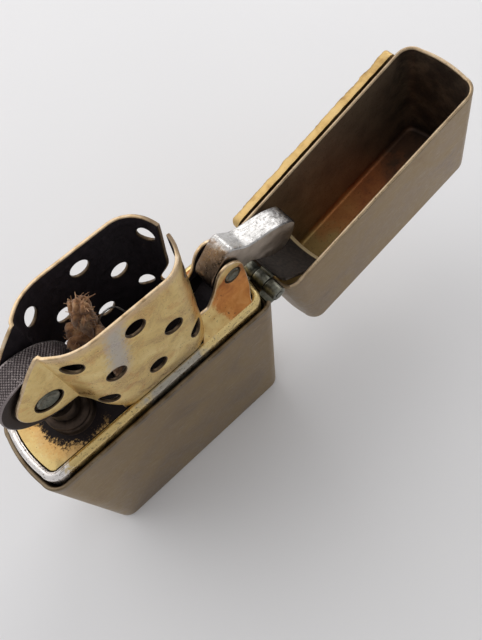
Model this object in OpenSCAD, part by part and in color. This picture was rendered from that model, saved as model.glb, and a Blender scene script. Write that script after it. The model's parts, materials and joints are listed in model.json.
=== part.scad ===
// Refillable pocket lighter with a hinged lid, drawn with the lid standing open.
// Origin: centre of the underside. +X points to the hinge end, +Z up,
// and +Y to the broad face that carries the applied plate.

/* [Case and lid] */
// Width across the two narrow ends
case_w = 38.1; // [37.8:0.1:38.4]
// Depth between the two broad faces
case_d = 12.5; // [12.4:0.1:12.8]
// Height of the lower case
case_h = 34.7; // [34.5:0.1:35]
// Height of the lid
lid_h = 22.1; // [22:0.1:22.6]
// Wall thickness of the drawn shells
shell_t = 0.55; // [0.45:0.05:0.55]
// Radius of the upright corners
corner_r = 2.4; // [2:0.1:2.8]
// How far each narrow end bulges at its middle
end_bulge = 0.4; // [0.3:0.05:0.45]
// Radius along the closed edges of the case and the lid
edge_r = 1.2; // [0.8:0.1:1.6]
// Gap between the case and the lid when shut
mouth_gap = 0.15; // [0.1:0.05:0.2]

/* [Hinge] */
// Angle at which the lid stands open
lid_open = 162.5; // [158:0.5:163]
// Angle at which the lid's hinge leaf stands open
leaf_open = 128; // [126:0.5:129]
// Diameter of the hinge barrel
barrel_d = 2.2; // [2:0.1:2.2]
// Diameter of the hinge pin
pin_d = 1; // [0.8:0.1:1.1]
// Length of each of the five knuckles
knuckle_l = 2.15; // [2:0.05:2.15]
// Height of the hinge leaf inside the lid, from the pin
leaf_h = 12.2; // [10:0.1:12.4]

/* [Insert] */
// Width of the insert
insert_w = 35.9; // [35.6:0.1:35.9]
// Depth of the insert
insert_d = 11; // [10.8:0.1:11]
// Height of the insert's rim above the underside
rim_z = 36.4; // [36.2:0.1:36.6]
// Height of the windscreen's top edge
screen_top = 55.5; // [55:0.1:55.6]
// Half depth of the windscreen's outer faces
screen_y = 5.15; // [5:0.05:5.15]
// Sheet thickness of the windscreen and its ears
sheet_t = 0.45; // [0.4:0.05:0.45]
// Diameter of the air holes
hole_d = 2.3; // [2:0.1:2.4]

/* [Wheel and flint] */
// Radius of the striker wheel
wheel_r = 5.05; // [4.8:0.05:5.05]
// Thickness of the striker wheel
wheel_t = 3.2; // [3:0.1:3.2]
// Diameter of the flint
flint_d = 2.4; // [2.2:0.1:2.4]
// Number of turns of the flint spring
spring_turns = 16; // [12:1:18]

/* [Cam] */
// Thickness of the cam
cam_t = 3.2; // [3:0.1:3.2]
// Radius of the cam's hub
cam_hub_r = 3; // [2.8:0.1:3.1]

/* [Emblem] */
// Width of the applied plate on the lid
emblem_w = 32.9; // [30:0.1:33]
// Height of the applied plate
emblem_h = 19.4; // [16:0.1:19.6]
// Thickness of the applied plate
emblem_t = 1.4; // [1:0.1:1.5]

/* [Hidden] */
$fn = 48;

eps = 0.01;            // a hair, for cuts that run past a face
run_gap = 0.03;        // radial clearance of a pin in its bore

hinge_x = case_w / 2 + 0.45;
hinge_z = case_h - 0.7;
barrel_r = barrel_d / 2;
pin_r = pin_d / 2;
knuckle_pitch = knuckle_l + 0.1;
hinge_half = 2.5 * knuckle_pitch;
leaf_t = 0.4;
leaf_half = 5.2;       // half width of both hinge leaves
knuckle_room = 1.75;   // radius kept free around the other leaf's knuckles
tab_t = 0.5;           // thickness of the tab that joins a knuckle to its leaf
glue_t = 0.35;         // thickness of the glue behind the applied plate

insert_t = 0.3;
insert_x = -0.25;      // the insert sits towards the wheel end, clear of the hinge leaf
insert_r = 2;
foot_z = 1.2;          // the insert stands this far above the case's underside
plate_z = rim_z - 0.1; // top face of the plate that closes the insert

ear_in = cam_t / 2 + 0.3;        // half gap between the ears
ear_out = ear_in + sheet_t;
wheel_x = -10.35;
wheel_z = 47.2;
cam_x = 14.8;
cam_z = 41.5;

tube_x = wheel_x;
tube_r = 1.9;
tube_bore_r = flint_d / 2 + 0.1;
tube_top = 41.2;
flint_top = wheel_z - wheel_r - 0.15;
flint_len = 5.1;
plunger_len = 4.8;
screw_top = 6.4;
wick_x = -2.4;
wick_r = 1.45;

brass_aged = [0.48, 0.41, 0.31];
brass_warm = [0.76, 0.63, 0.38];
brass_pale = [0.83, 0.70, 0.42];
steel = [0.62, 0.60, 0.57];
steel_dark = [0.33, 0.30, 0.28];
cotton = [0.62, 0.50, 0.36];

// ---------------------------------------------------------------- outlines

// A quarter of the plan: half of a bulged end, then one rounded corner
function quarter(hw, hd, r, b) =
    concat([for (i = [0:3]) let (y = (hd - r) * i / 4) [hw - b * pow(y / (hd - r), 2), y]],
           [for (a = [0:15:90]) [hw - b - r + r * cos(a), hd - r + r * sin(a)]]);

// The whole plan: half width hw, half depth hd, corner radius r, end bulge b
function plan(hw, hd, r, b) =
    let (q = quarter(hw, hd, r, b), n = len(q) - 1)
    concat(q,
           [for (i = [n:-1:1]) [-q[i][0], q[i][1]]],
           [for (p = q) [-p[0], -p[1]]],
           [for (i = [n:-1:1]) [q[i][0], -q[i][1]]]);

// The case's plan, moved inwards by g
function case_plan(g) = plan(case_w / 2 - g, case_d / 2 - g, corner_r - g, end_bulge);

// The insert's plan, moved inwards by g
function insert_plan(g) =
    [for (p = plan(insert_w / 2 - g, insert_d / 2 - g, insert_r - g, end_bulge)) p + [insert_x, 0]];

// An upright outline with rounded lower corners: half width hw, from z0 to z1
function cup_profile(hw, z0, z1, r) =
    concat([for (a = [180:22.5:270]) [-hw + r + r * cos(a), z0 + r + r * sin(a)]],
           [for (a = [270:22.5:360]) [hw - r + r * cos(a), z0 + r + r * sin(a)]],
           [[hw, z1], [-hw, z1]]);

function unit(v) = v / norm(v);

// Direction of an open path at point i
function heading(p, i) = unit(p[min(i + 1, len(p) - 1)] - p[max(i - 1, 0)]);

// A band of thickness t on the left of an open path
function band(p, t) =
    concat(p, [for (i = [len(p) - 1:-1:0]) let (d = heading(p, i)) p[i] + t * [-d[1], d[0]]]);

// ---------------------------------------------------------------- helpers

// Draws a flat outline in the XZ plane and gives it depth along Y, centred
module along_y(depth) {
    rotate([90, 0, 0]) linear_extrude(depth, center = true) children();
}

// A rod along Y, centred on y = 0
module rod_y(x, z, r, len) {
    translate([x, 0, z]) rotate([90, 0, 0]) cylinder(r = r, h = len, center = true);
}

// Turns the children about the hinge pin, from shut to an angle
module swing(angle) {
    translate([hinge_x, 0, hinge_z]) rotate([0, angle, 0]) translate([-hinge_x, 0, -hinge_z]) children();
}

// A solid cup: the plan inset by g, with rounded lower edges
module cup(g, z0, z1, r) {
    intersection() {
        translate([0, 0, z0]) linear_extrude(z1 - z0) polygon(case_plan(g));
        along_y(case_d + 1) polygon(cup_profile(case_w / 2 - g, z0, z1, r));
        rotate([0, 0, 90]) along_y(case_w + 1) polygon(cup_profile(case_d / 2 - g, z0, z1, r));
    }
}

// A drawn shell with its open mouth up, from z = 0 to h
module shell(h) {
    difference() {
        cup(0, 0, h, edge_r);
        cup(shell_t, shell_t, h + 1, edge_r - 0.4);
    }
}

// One solid around a path: a ring of n points at each path point
module sweep(path, r, n, ref) {
    rings = [for (i = [0:len(path) - 1])
        let (d = heading(path, i), s = unit(cross(d, ref)), u = cross(s, d))
        for (k = [0:n - 1]) path[i] + r * (cos(360 * k / n) * s + sin(360 * k / n) * u)];
    last = (len(path) - 1) * n;
    sides = [for (i = [0:len(path) - 2]) for (k = [0:n - 1])
        [i * n + k, (i + 1) * n + k, (i + 1) * n + (k + 1) % n, i * n + (k + 1) % n]];
    polyhedron(rings, concat([[for (k = [0:n - 1]) k]], sides, [[for (k = [n - 1:-1:0]) last + k]]),
               convexity = 10);
}

// ---------------------------------------------------------------- case and hinge

module case_shell() {
    notch_half = hinge_half + 0.05;
    color(brass_aged) difference() {
        shell(case_h);
        translate([hinge_x - 2.3, -notch_half, hinge_z - 0.7]) cube([4, 2 * notch_half, 3]);
        rod_y(hinge_x, hinge_z, barrel_r + 0.15, 2 * notch_half);
    }
}

// Knuckles of one leaf, as barrel lengths centred on the listed steps along Y,
// each joined to its leaf by a tab above the pin (side 1) or below it (side -1)
module knuckles(steps, side) {
    for (k = steps) translate([0, k * knuckle_pitch, 0]) {
        reach = abs(k) == 2 ? 1.95 : 1.45; // the outer knuckles reach round the case's corner
        rod_y(hinge_x, hinge_z, barrel_r, knuckle_l);
        translate([hinge_x - reach, -knuckle_l / 2, hinge_z + min(side, 0) * tab_t])
            cube([reach - 0.7, knuckle_l, tab_t]);
    }
}

// A curved strip that lies just inside the hinge end's wall, from z0 to z1
module leaf_strip(z0, z1) {
    intersection() {
        translate([0, 0, z0]) linear_extrude(z1 - z0) difference() {
            polygon(case_plan(shell_t + 0.05));
            polygon(case_plan(shell_t + 0.05 + leaf_t));
        }
        translate([case_w / 4, -leaf_half, z0]) cube([case_w / 2, 2 * leaf_half, z1 - z0]);
    }
}

module case_hinge_leaf() {
    color(brass_aged) difference() {
        union() {
            difference() {
                leaf_strip(hinge_z - 10, hinge_z - 0.1);
                for (k = [-1, 1]) translate([0, k * knuckle_pitch, 0])
                    rod_y(hinge_x, hinge_z, knuckle_room, knuckle_pitch + 0.1);
            }
            knuckles([-2, 0, 2], -1);
        }
        rod_y(hinge_x, hinge_z, pin_r + run_gap, 3 * hinge_half);
    }
}

module hinge_pin() {
    color(steel_dark) rod_y(hinge_x, hinge_z, pin_r, 2 * hinge_half);
}

module lid_hinge_leaf() {
    color(brass_aged) swing(leaf_open) difference() {
        union() {
            difference() {
                leaf_strip(hinge_z + 0.1, hinge_z + leaf_h);
                for (k = [-2, 0, 2]) translate([0, k * knuckle_pitch, 0])
                    rod_y(hinge_x, hinge_z, knuckle_room, knuckle_pitch + 0.1);
            }
            knuckles([-1, 1], 1);
        }
        rod_y(hinge_x, hinge_z, pin_r + run_gap, 3 * hinge_half);
    }
}

module lid_shell() {
    color(brass_aged) swing(lid_open) difference() {
        translate([0, 0, case_h + lid_h]) mirror([0, 0, 1]) shell(lid_h - mouth_gap);
        rod_y(hinge_x, hinge_z, barrel_r + 0.45, 2 * hinge_half + 0.3);
    }
}

// ---------------------------------------------------------------- applied plate

// A flat plate on the lid's +Y face, inset by g, between two depths
module lid_plate(g, y0, y1, r) {
    hw = emblem_w / 2 - g;
    hh = emblem_h / 2 - g;
    translate([0, 0, case_h + mouth_gap + emblem_h / 2])
        intersection() {
            translate([-hw, y0, -hh]) cube([2 * hw, y1 - y0, 2 * hh]);
            union() {
                translate([-hw + r, y0, -hh]) cube([2 * (hw - r), y1 - y0, 2 * hh]);
                translate([-hw, y0, -hh + r]) cube([2 * hw, y1 - y0, 2 * (hh - r)]);
                for (sx = [-1, 1]) for (sz = [-1, 1])
                    translate([sx * (hw - r), (y0 + y1) / 2, sz * (hh - r)])
                        rotate([90, 0, 0]) cylinder(r = r, h = y1 - y0, center = true);
            }
        }
}

module lid_emblem() {
    back = case_d / 2 + glue_t;
    color(brass_pale) swing(lid_open) union() {
        lid_plate(0, back, back + emblem_t * 0.75, 1.5);
        lid_plate(1.4, back + emblem_t * 0.75 - eps, back + emblem_t, 1.5);
    }
}

module emblem_glue() {
    color(steel_dark) swing(lid_open) lid_plate(1.6, case_d / 2, case_d / 2 + glue_t, 1);
}

// ---------------------------------------------------------------- insert

module insert_box() {
    color(brass_warm) difference() {
        translate([0, 0, foot_z]) linear_extrude(rim_z - foot_z) polygon(insert_plan(0));
        translate([0, 0, foot_z - 1]) linear_extrude(rim_z - foot_z + 2) polygon(insert_plan(insert_t));
    }
}

// Outer face of one half of the windscreen, seen from above, from the wheel ear to the cam end
screen_mid = 5.6;      // where the straight wall ends and the cam end begins
screen_end = 3.85;     // reach of the rounded cam end
crease_x = -8.2;
screen_path = concat(
    [[-14.2, ear_out], [crease_x, ear_out], [-7.75, 2.75], [-7.4, 3.25], [-7, 3.8],
     [-6.3, 4.4], [-5.3, 4.9], [-4, screen_y]],
    [for (a = [90:-10:0]) [screen_mid + screen_end * cos(a), screen_y * sin(a)]]);

// The windscreen's side outline: wheel ear, cut-back lower edge and level top
screen_side = [[10, plate_z - 2.5], [-5.3, plate_z - 2.5], [-5.3, 38.7], [-6.6, 40.8], [-7.1, 42.4],
               [-7.4, 44], [-8.2, 43.9], [-9.4, 43.8], [-12, 44.8], [-13.4, 46.2], [-13.8, 47.8],
               [-13.3, 49.7], [-9.7, 54.2], [-8, 55.3], [-6, screen_top], [10, screen_top]];

// The cam ear's side outline
cam_ear_side = [[6.6, plate_z], [6.6, 38], [9, 39.2], [10.3, 39.2], [11.6, 40.6], [12.7, 43.2],
                [13.6, 44], [14.8, 44.1], [16, 43.3], [16.6, 42], [16.8, 38.8], [16.5, 37.4],
                [15.5, plate_z]];

// Half of the slit in the cam end: narrow at the top, wide above the ears
screen_slit = [[0.75, screen_top + 1], [0.85, 54], [1.3, 50], [1.7, 46.6], [3.4, 42.6], [3, 41.2],
               [ear_in, 40.6], [ear_in, plate_z - 3]];

// Air holes of one side: place on the wall and direction the hole points
air_holes = [[-5.8, 4.65, 42.1, 117], [0.8, screen_y, 42.1, 90], [6.95, 4.82, 42.1, 63],
             [-3.4, screen_y, 47.2, 90], [4.4, screen_y, 47.2, 90],
             [-6.3, 4.4, 52.4, 123], [0.8, screen_y, 52.4, 90], [8.7, 3.05, 52.4, 29]];

module screen_half() {
    difference() {
        intersection() {
            translate([0, 0, plate_z - 2.5]) linear_extrude(screen_top - plate_z + 2.5)
                polygon(band([for (i = [len(screen_path) - 1:-1:0]) screen_path[i]], sheet_t));
            along_y(2 * insert_d) polygon(screen_side);
        }
        translate([screen_mid, 0, 0]) rotate([90, 0, 90]) linear_extrude(6)
            polygon(concat(screen_slit, [for (i = [len(screen_slit) - 1:-1:0])
                [-screen_slit[i][0], screen_slit[i][1]]]));
        for (h = air_holes)
            translate([h[0], h[1], h[2]]) rotate([0, 0, h[3]]) rotate([0, 90, 0])
                cylinder(d = hole_d, h = 3, center = true);
        rod_y(wheel_x, wheel_z, 0.9 + run_gap, 12);
    }
}

// The space inside the rounded cam end of the windscreen
module screen_core() {
    hw = screen_end - sheet_t / 2;
    hd = screen_y - sheet_t / 2;
    translate([0, 0, plate_z - eps]) linear_extrude(screen_top)
        polygon(concat([[0, hd], [0, -hd]], [for (a = [-90:15:90]) [screen_mid + hw * cos(a), hd * sin(a)]]));
}

// One cam ear: upright above, flaring outwards in an arc to the rim
module cam_ear() {
    flare = screen_y - ear_out;
    rise = 4.8;
    arc = [for (a = [0:15:90]) [screen_y - flare * sin(a), plate_z - eps + rise * (1 - cos(a))]];
    path = concat(arc, [[ear_out, 45]]);
    difference() {
        intersection() {
            translate([6, 0, 0]) rotate([90, 0, 90]) linear_extrude(12) polygon(band(path, sheet_t));
            along_y(2 * insert_d) polygon(cam_ear_side);
        }
        screen_core();
        rod_y(cam_x, cam_z, 0.75 + run_gap, 12);
    }
}

module windscreen() {
    color(brass_warm) union() {
        for (side = [0, 1]) mirror([0, side, 0]) {
            screen_half();
            cam_ear();
        }
        difference() {
            translate([0, 0, plate_z - sheet_t]) linear_extrude(sheet_t)
                polygon(insert_plan(insert_t + 0.05));
            translate([tube_x, 0, plate_z]) cylinder(r = tube_r + run_gap, h = 4, center = true);
            translate([wick_x, 0, plate_z]) cylinder(r = wick_r + run_gap, h = 4, center = true);
            translate([3.2, 0, plate_z]) cylinder(r = 0.6 + run_gap, h = 4, center = true);
            translate([9.7, -ear_in, plate_z - 2]) cube([6.5, 2 * ear_in, 4]);
        }
    }
}

// ---------------------------------------------------------------- wheel

module striker_wheel() {
    color(steel_dark) difference() {
        rod_y(wheel_x, wheel_z, wheel_r, wheel_t);
        rod_y(wheel_x, wheel_z, 0.9 + 2 * run_gap, wheel_t + 1);
        for (side = [-1, 1]) translate([0, side * (wheel_t / 2), 0]) difference() {
            rod_y(wheel_x, wheel_z, wheel_r - 1.1, 0.5);
            rod_y(wheel_x, wheel_z, 1.6, 1);
        }
    }
}

// A rivet along Y: shank through the two ears and a head on each side
module rivet(x, z, shank_r, head_r) {
    rod_y(x, z, shank_r, 2 * ear_out + 0.1);
    for (side = [-1, 1]) translate([0, side * (ear_out + 0.3), 0]) rod_y(x, z, head_r, 0.5);
}

module wheel_rivet() {
    color(steel) rivet(wheel_x, wheel_z, 0.9, 1.6);
}

// ---------------------------------------------------------------- cam

// The cam's side outline round its pivot, in the open position
cam_outline = [[-3.1, -1.2], [-2.6, 0.6], [-1.6, 1.9], [-0.2, 3.3], [0.6, 3.85], [1.4, 3.7],
               [2.7, 2.7], [3.9, 1.85], [5.7, 1.2], [8, 0.5], [10.6, -0.4], [11.4, -1],
               [11.7, -1.9], [11.5, -3.2], [10.7, -4.8], [9.7, -5.6], [8.4, -5.8],
               [7.2, -5.3], [5.2, -3.6], [3.8, -2], [0, -2]];

module cam() {
    color(steel) difference() {
        union() {
            translate([cam_x, 0, cam_z]) along_y(cam_t) polygon(cam_outline);
            rod_y(cam_x, cam_z, cam_hub_r, cam_t);
        }
        rod_y(cam_x, cam_z, 0.75 + 2 * run_gap, cam_t + 1);
    }
}

module cam_rivet() {
    color(steel) rivet(cam_x, cam_z, 0.75, 1.15);
}

// A flat spring under the plate, with its free end turned up below the cam
module cam_spring() {
    path = [[1.4, 35.3], [9.9, 35.3], [10.7, 35.8], [11.5, 36.7], [12.4, 37.3], [13.8, 37.5]];
    color(steel_dark) difference() {
        along_y(3) polygon(band(path, 0.35));
        translate([3.2, 0, 35]) cylinder(r = 0.6 + run_gap, h = 4, center = true);
    }
}

module spring_rivet() {
    color(brass_pale) translate([3.2, 0, 0]) {
        translate([0, 0, 34.9]) cylinder(r = 0.6, h = plate_z - 34.9 + 0.1);
        translate([0, 0, plate_z]) cylinder(r = 1.2, h = 0.45);
        translate([0, 0, 34.8]) cylinder(r = 1.1, h = 0.45);
    }
}

// ---------------------------------------------------------------- flint works

module flint_tube() {
    color(brass_warm) translate([tube_x, 0, 2.7]) difference() {
        cylinder(r = tube_r, h = tube_top - 2.7);
        translate([0, 0, -1]) cylinder(r = tube_bore_r, h = tube_top + 1);
    }
}

module tube_ferrule() {
    r0 = tube_r + 0.02;
    color(brass_warm) translate([tube_x, 0, plate_z]) rotate_extrude()
        polygon([[r0, 0], [2.85, 0], [2.85, 0.9], [2.65, 1.1], [2.65, 1.7], [2.85, 1.9],
                 [2.85, 2.3], [2.5, 2.7], [r0, 2.7]]);
}

module flint() {
    color(steel_dark) translate([tube_x, 0, flint_top - flint_len]) cylinder(d = flint_d, h = flint_len);
}

module flint_plunger() {
    top = flint_top - flint_len - 0.05;
    color(brass_pale) translate([tube_x, 0, 0]) {
        translate([0, 0, top - plunger_len]) cylinder(d = flint_d, h = plunger_len);
        translate([0, 0, top - plunger_len - 4]) cylinder(r = 0.6, h = 4 + eps);
    }
}

module flint_spring() {
    coil_r = 0.95;
    wire_r = 0.17;
    z0 = screw_top + 0.25;
    z1 = flint_top - flint_len - plunger_len - 0.3;
    steps = 12;
    count = spring_turns * steps;
    path = [for (i = [0:count]) [tube_x + coil_r * cos(360 * i / steps), coil_r * sin(360 * i / steps),
                                 z0 + (z1 - z0) * i / count]];
    color(steel) sweep(path, wire_r, 6, [0, 0, 1]);
}

module flint_screw() {
    color(brass_pale) translate([tube_x, 0, 0]) difference() {
        union() {
            translate([0, 0, foot_z]) cylinder(r = 2.8, h = 1.4);
            translate([0, 0, foot_z]) cylinder(r = tube_bore_r - 0.05, h = screw_top - foot_z);
        }
        translate([-3, -0.35, foot_z - 1]) cube([6, 0.7, 1.6]);
    }
}

// ---------------------------------------------------------------- wick, packing and pad

module wick() {
    color(cotton) translate([wick_x, 0, 6]) {
        cylinder(r = wick_r, h = 44);
        translate([0, 0, 44]) cylinder(r1 = wick_r, r2 = 1, h = 4.6);
    }
}

module wick_wire() {
    wire = [[-0.93, 0, 49.9], [-0.2, 0, 50.2], [0.5, 0, 50.1], [1, 0, 49.6], [1.4, 0, 48.4],
            [1.7, 0, 47], [1.9, 0, 45.7], [2, 0, 44.4]];
    color(steel) sweep(wire, 0.15, 8, [0, 1, 0]);
}

// Five wads of padding stacked beside the flint tube, with a channel for the wick
module packing() {
    count = 5;
    pitch = 5.8;
    color("ivory") difference() {
        intersection() {
            for (i = [0:count - 1]) translate([0, 0, 4.8 + i * pitch])
                linear_extrude(pitch - 0.4) polygon(insert_plan(insert_t + 0.3));
            translate([-7.9, -insert_d, 0]) cube([insert_w, 2 * insert_d, rim_z]);
        }
        translate([wick_x, 0, 4]) cylinder(r = wick_r + 0.1, h = rim_z);
    }
}

module felt_pad() {
    color("gainsboro") difference() {
        translate([0, 0, foot_z + 0.3]) linear_extrude(3) polygon(insert_plan(insert_t + 0.1));
        translate([tube_x, 0, foot_z]) cylinder(r = 3, h = 10, center = true);
        translate([8, 0, foot_z]) cylinder(r = 1.4, h = 10, center = true);
    }
}

case_shell();
case_hinge_leaf();
hinge_pin();
lid_shell();
lid_hinge_leaf();
lid_emblem();
emblem_glue();
insert_box();
windscreen();
striker_wheel();
wheel_rivet();
cam();
cam_rivet();
cam_spring();
spring_rivet();
flint_tube();
tube_ferrule();
flint();
flint_plunger();
flint_spring();
flint_screw();
wick();
wick_wire();
packing();
felt_pad();
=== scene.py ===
"""Looks of the pocket lighter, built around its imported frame. Lengths in this script are in millimetres."""
import bisect
import json
import math
import random

import bmesh
import bpy
from mathutils import Matrix, Vector, kdtree, noise
from mathutils.geometry import delaunay_2d_cdt


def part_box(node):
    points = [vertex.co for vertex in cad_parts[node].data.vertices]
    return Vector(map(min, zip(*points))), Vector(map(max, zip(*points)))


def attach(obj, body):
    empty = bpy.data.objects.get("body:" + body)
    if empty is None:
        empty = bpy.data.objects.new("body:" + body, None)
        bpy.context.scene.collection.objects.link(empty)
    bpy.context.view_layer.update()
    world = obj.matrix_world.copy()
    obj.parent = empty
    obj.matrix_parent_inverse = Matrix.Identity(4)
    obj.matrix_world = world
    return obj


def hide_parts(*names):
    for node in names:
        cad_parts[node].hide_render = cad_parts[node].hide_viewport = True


MM = 0.001
SLIVER = 1e-5                          # twice the area, in square mm, under which a triangle is dropped

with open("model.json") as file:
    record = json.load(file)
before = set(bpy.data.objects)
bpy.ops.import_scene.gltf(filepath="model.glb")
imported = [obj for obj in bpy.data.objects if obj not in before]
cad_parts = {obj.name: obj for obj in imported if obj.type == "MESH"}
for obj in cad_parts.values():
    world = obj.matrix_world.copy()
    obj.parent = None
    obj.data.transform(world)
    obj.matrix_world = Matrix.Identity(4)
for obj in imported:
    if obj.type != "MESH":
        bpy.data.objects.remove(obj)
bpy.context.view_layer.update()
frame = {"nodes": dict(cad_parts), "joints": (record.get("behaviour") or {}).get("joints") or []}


def span(node):
    """Lowest and highest corner of a CAD node, in millimetres."""
    low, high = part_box(node)
    return low / MM, high / MM


def joint(name):
    return next(j for j in frame["joints"] if j["name"] == name)


def pivot(name):
    return Vector(joint(name)["pos_m"]) / MM


# ---------------------------------------------------------------- sizes

CASE = span("case_shell")[1]          # half width, half depth, height
INSERT_LOW, INSERT = span("insert_box")
INSERT_X = (INSERT_LOW.x + INSERT.x) / 2
SCREEN_TOP = span("windscreen")[1].z
HINGE = pivot("lid_hinge")
CAM = pivot("cam_pivot")
WHEEL = pivot("wheel_spin")
WHEEL_R = span("striker_wheel")[1].z - WHEEL.z
WHEEL_HALF = span("striker_wheel")[1].y
LID_OPEN = -joint("lid_hinge")["range_deg"][0]
LEAF_OPEN = -joint("leaf_hinge")["range_deg"][0]

SHELL_T = 0.55
CORNER_R = 2.4
END_BULGE = 0.4
EDGE_R = 1.2
MOUTH_GAP = 0.15
LID_TOP = 56.8
NOTCH_Z = HINGE.z - 0.7
NOTCH_SINE = 0.76                     # where the hinge notch ends on the corner's arc

INSERT_T = 0.3
INSERT_R = 2.0
ROLL_R = 0.75                         # the insert's rim is rolled over to this radius
SEAM = ROLL_R + 0.4                   # how far the top plate's edge lies inside the insert's wall
PLATE_Z = INSERT.z - 0.1
SHEET_T = 0.45
EAR_OUT = span("wheel_rivet")[1].y - 0.55
EAR_IN = EAR_OUT - SHEET_T
SCREEN_Y = 5.15
SCREEN_MID = 5.6
SCREEN_END = 3.85
HOLE_R = 1.15
CREASE_X = -7.95

BARREL_R = 1.1
PIN_BORE = 0.53
KNUCKLE_L = 2.15
KNUCKLE_PITCH = 2.25
LEAF_T = 0.4
LEAF_HALF = 5.2
LEAF_H = 12.2
TAB_T = 0.5

WICK_X = -2.4
TUBE_X = WHEEL.x
EMBLEM_HW = 16.45
EMBLEM_HH = 9.7
EMBLEM_BACK = CASE.y + 0.35


# ---------------------------------------------------------------- lines and outlines

class Track:
    """An open flat line that is measured by its own length."""

    def __init__(self, points):
        self.p = [Vector(p) for p in points]
        self.s = [0.0]
        for a, b in zip(self.p, self.p[1:]):
            self.s.append(self.s[-1] + (b - a).length)

    def at(self, s):
        i = min(max(bisect.bisect_right(self.s, s) - 1, 0), len(self.p) - 2)
        return self.p[i].lerp(self.p[i + 1], (s - self.s[i]) / (self.s[i + 1] - self.s[i]))

    def normal(self, s, reach=0.06):
        d = (self.at(s + reach) - self.at(s - reach)).normalized()
        return Vector((-d.y, d.x))

    def where(self, axis, value):
        """Length at which the line last passes a value of x or y."""
        for i in range(len(self.p) - 2, -1, -1):
            a, b = self.p[i][axis], self.p[i + 1][axis]
            if min(a, b) <= value <= max(a, b) and a != b:
                return self.s[i] + (self.s[i + 1] - self.s[i]) * (value - a) / (b - a)
        return 0.0


def curve_through(points, steps=6, closed=False):
    """A smooth line through all the points."""
    p = [Vector(q) for q in points]
    n = len(p)
    out = []
    for i in range(n if closed else n - 1):
        if closed:
            a, b, c, d = p[i - 1], p[i], p[(i + 1) % n], p[(i + 2) % n]
        else:
            a, b, c, d = p[max(i - 1, 0)], p[i], p[i + 1], p[min(i + 2, n - 1)]
        for k in range(steps):
            t = k / steps
            out.append(0.5 * (2 * b + (c - a) * t + (2 * a - 5 * b + 4 * c - d) * t * t
                              + (3 * b - a - 3 * c + d) * t ** 3))
    if not closed:
        out.append(p[-1])
    return out


def circle(x, y, r, n=32):
    """A hole's loop, turning clockwise."""
    return [Vector((x + r * math.cos(a), y + r * math.sin(a)))
            for a in (-2 * math.pi * i / n for i in range(n))]


def divided(loop, step):
    """The same closed loop with no edge longer than step and none much shorter."""
    kept = [loop[0]]
    for p in loop[1:]:
        if (p - kept[-1]).length > 0.45 * step and (p - loop[0]).length > 0.45 * step:
            kept.append(p)
    out = []
    for i, a in enumerate(kept):
        b = kept[(i + 1) % len(kept)]
        n = max(1, math.ceil((b - a).length / step))
        out += [a.lerp(b, k / n) for k in range(n)]
    return out


def plan(hw, hd, r, bulge, g):
    """Rounded plan with bulged ends, moved inwards by g."""
    hw, hd, r = hw - g, hd - g, r - g
    flat = hd - r
    notch = math.asin(NOTCH_SINE)
    angles = sorted([math.radians(a) for a in range(0, 91, 9)] + [notch])
    quarter = [(hw - bulge * (i / 6) ** 2, flat * i / 6) for i in range(6)]
    quarter += [(hw - bulge - r + r * math.cos(a), flat + r * math.sin(a)) for a in angles]
    front = hw - bulge - r
    quarter += [(front * (1 - i / 8), hd) for i in range(1, 9)]
    upper = quarter + [(-x, y) for x, y in reversed(quarter[1:-1])]
    return upper + [(-x, -y) for x, y in upper]


def case_plan(g):
    return plan(CASE.x, CASE.y, CORNER_R, END_BULGE, g)


def insert_plan(g):
    half = INSERT.x - INSERT_X
    return [(x + INSERT_X, y) for x, y in plan(half, INSERT.y, INSERT_R, END_BULGE, g)]


def swing(point, angle):
    """Turns a point about the hinge pin, from shut to an angle in degrees."""
    dx, dz = point[0] - HINGE.x, point[2] - HINGE.z
    c, s = math.cos(math.radians(angle)), math.sin(math.radians(angle))
    return Vector((HINGE.x + c * dx + s * dz, point[1], HINGE.z - s * dx + c * dz))


# ---------------------------------------------------------------- meshes

class Shape:
    """Vertices, faces and their materials, gathered before one mesh is made of them."""

    def __init__(self):
        self.v, self.f, self.m = [], [], []

    def points(self, points):
        first = len(self.v)
        self.v += [Vector(p) for p in points]
        return list(range(first, len(self.v)))

    def face(self, corners, mat=0):
        self.f.append(list(corners))
        self.m.append(mat)

    def bridge(self, a, b, mat=0, closed=True, skip=()):
        n = len(a)
        for j in range(n if closed else n - 1):
            if j not in skip:
                k = (j + 1) % n
                self.face([a[j], a[k], b[k], b[j]], mat)

    def turned(self, start, angle):
        """Swings everything added since start about the hinge pin."""
        for i in range(start, len(self.v)):
            self.v[i] = swing(self.v[i], angle)


def link_piece(name, shape, mats, body, hides=(), smooth_angle=40):
    """Makes one object of a shape, tied to its body and the CAD nodes it stands for."""
    mesh = bpy.data.meshes.new(name)
    mesh.from_pydata([p * MM for p in shape.v], [], shape.f)
    for m in mats:
        mesh.materials.append(m)
    mesh.polygons.foreach_set("material_index", shape.m)
    work = bmesh.new()
    work.from_mesh(mesh)
    bmesh.ops.remove_doubles(work, verts=work.verts, dist=2e-7)
    bmesh.ops.dissolve_degenerate(work, edges=work.edges, dist=1e-7)
    bmesh.ops.recalc_face_normals(work, faces=work.faces)
    work.to_mesh(mesh)
    work.free()
    mesh.shade_smooth()
    mesh.set_sharp_from_angle(angle=math.radians(smooth_angle))
    obj = bpy.data.objects.new(name, mesh)
    bpy.context.scene.collection.objects.link(obj)
    weighted = obj.modifiers.new("even_normals", "WEIGHTED_NORMAL")
    weighted.keep_sharp = True
    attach(obj, body)
    if hides:
        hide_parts(*hides)
    return obj


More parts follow.
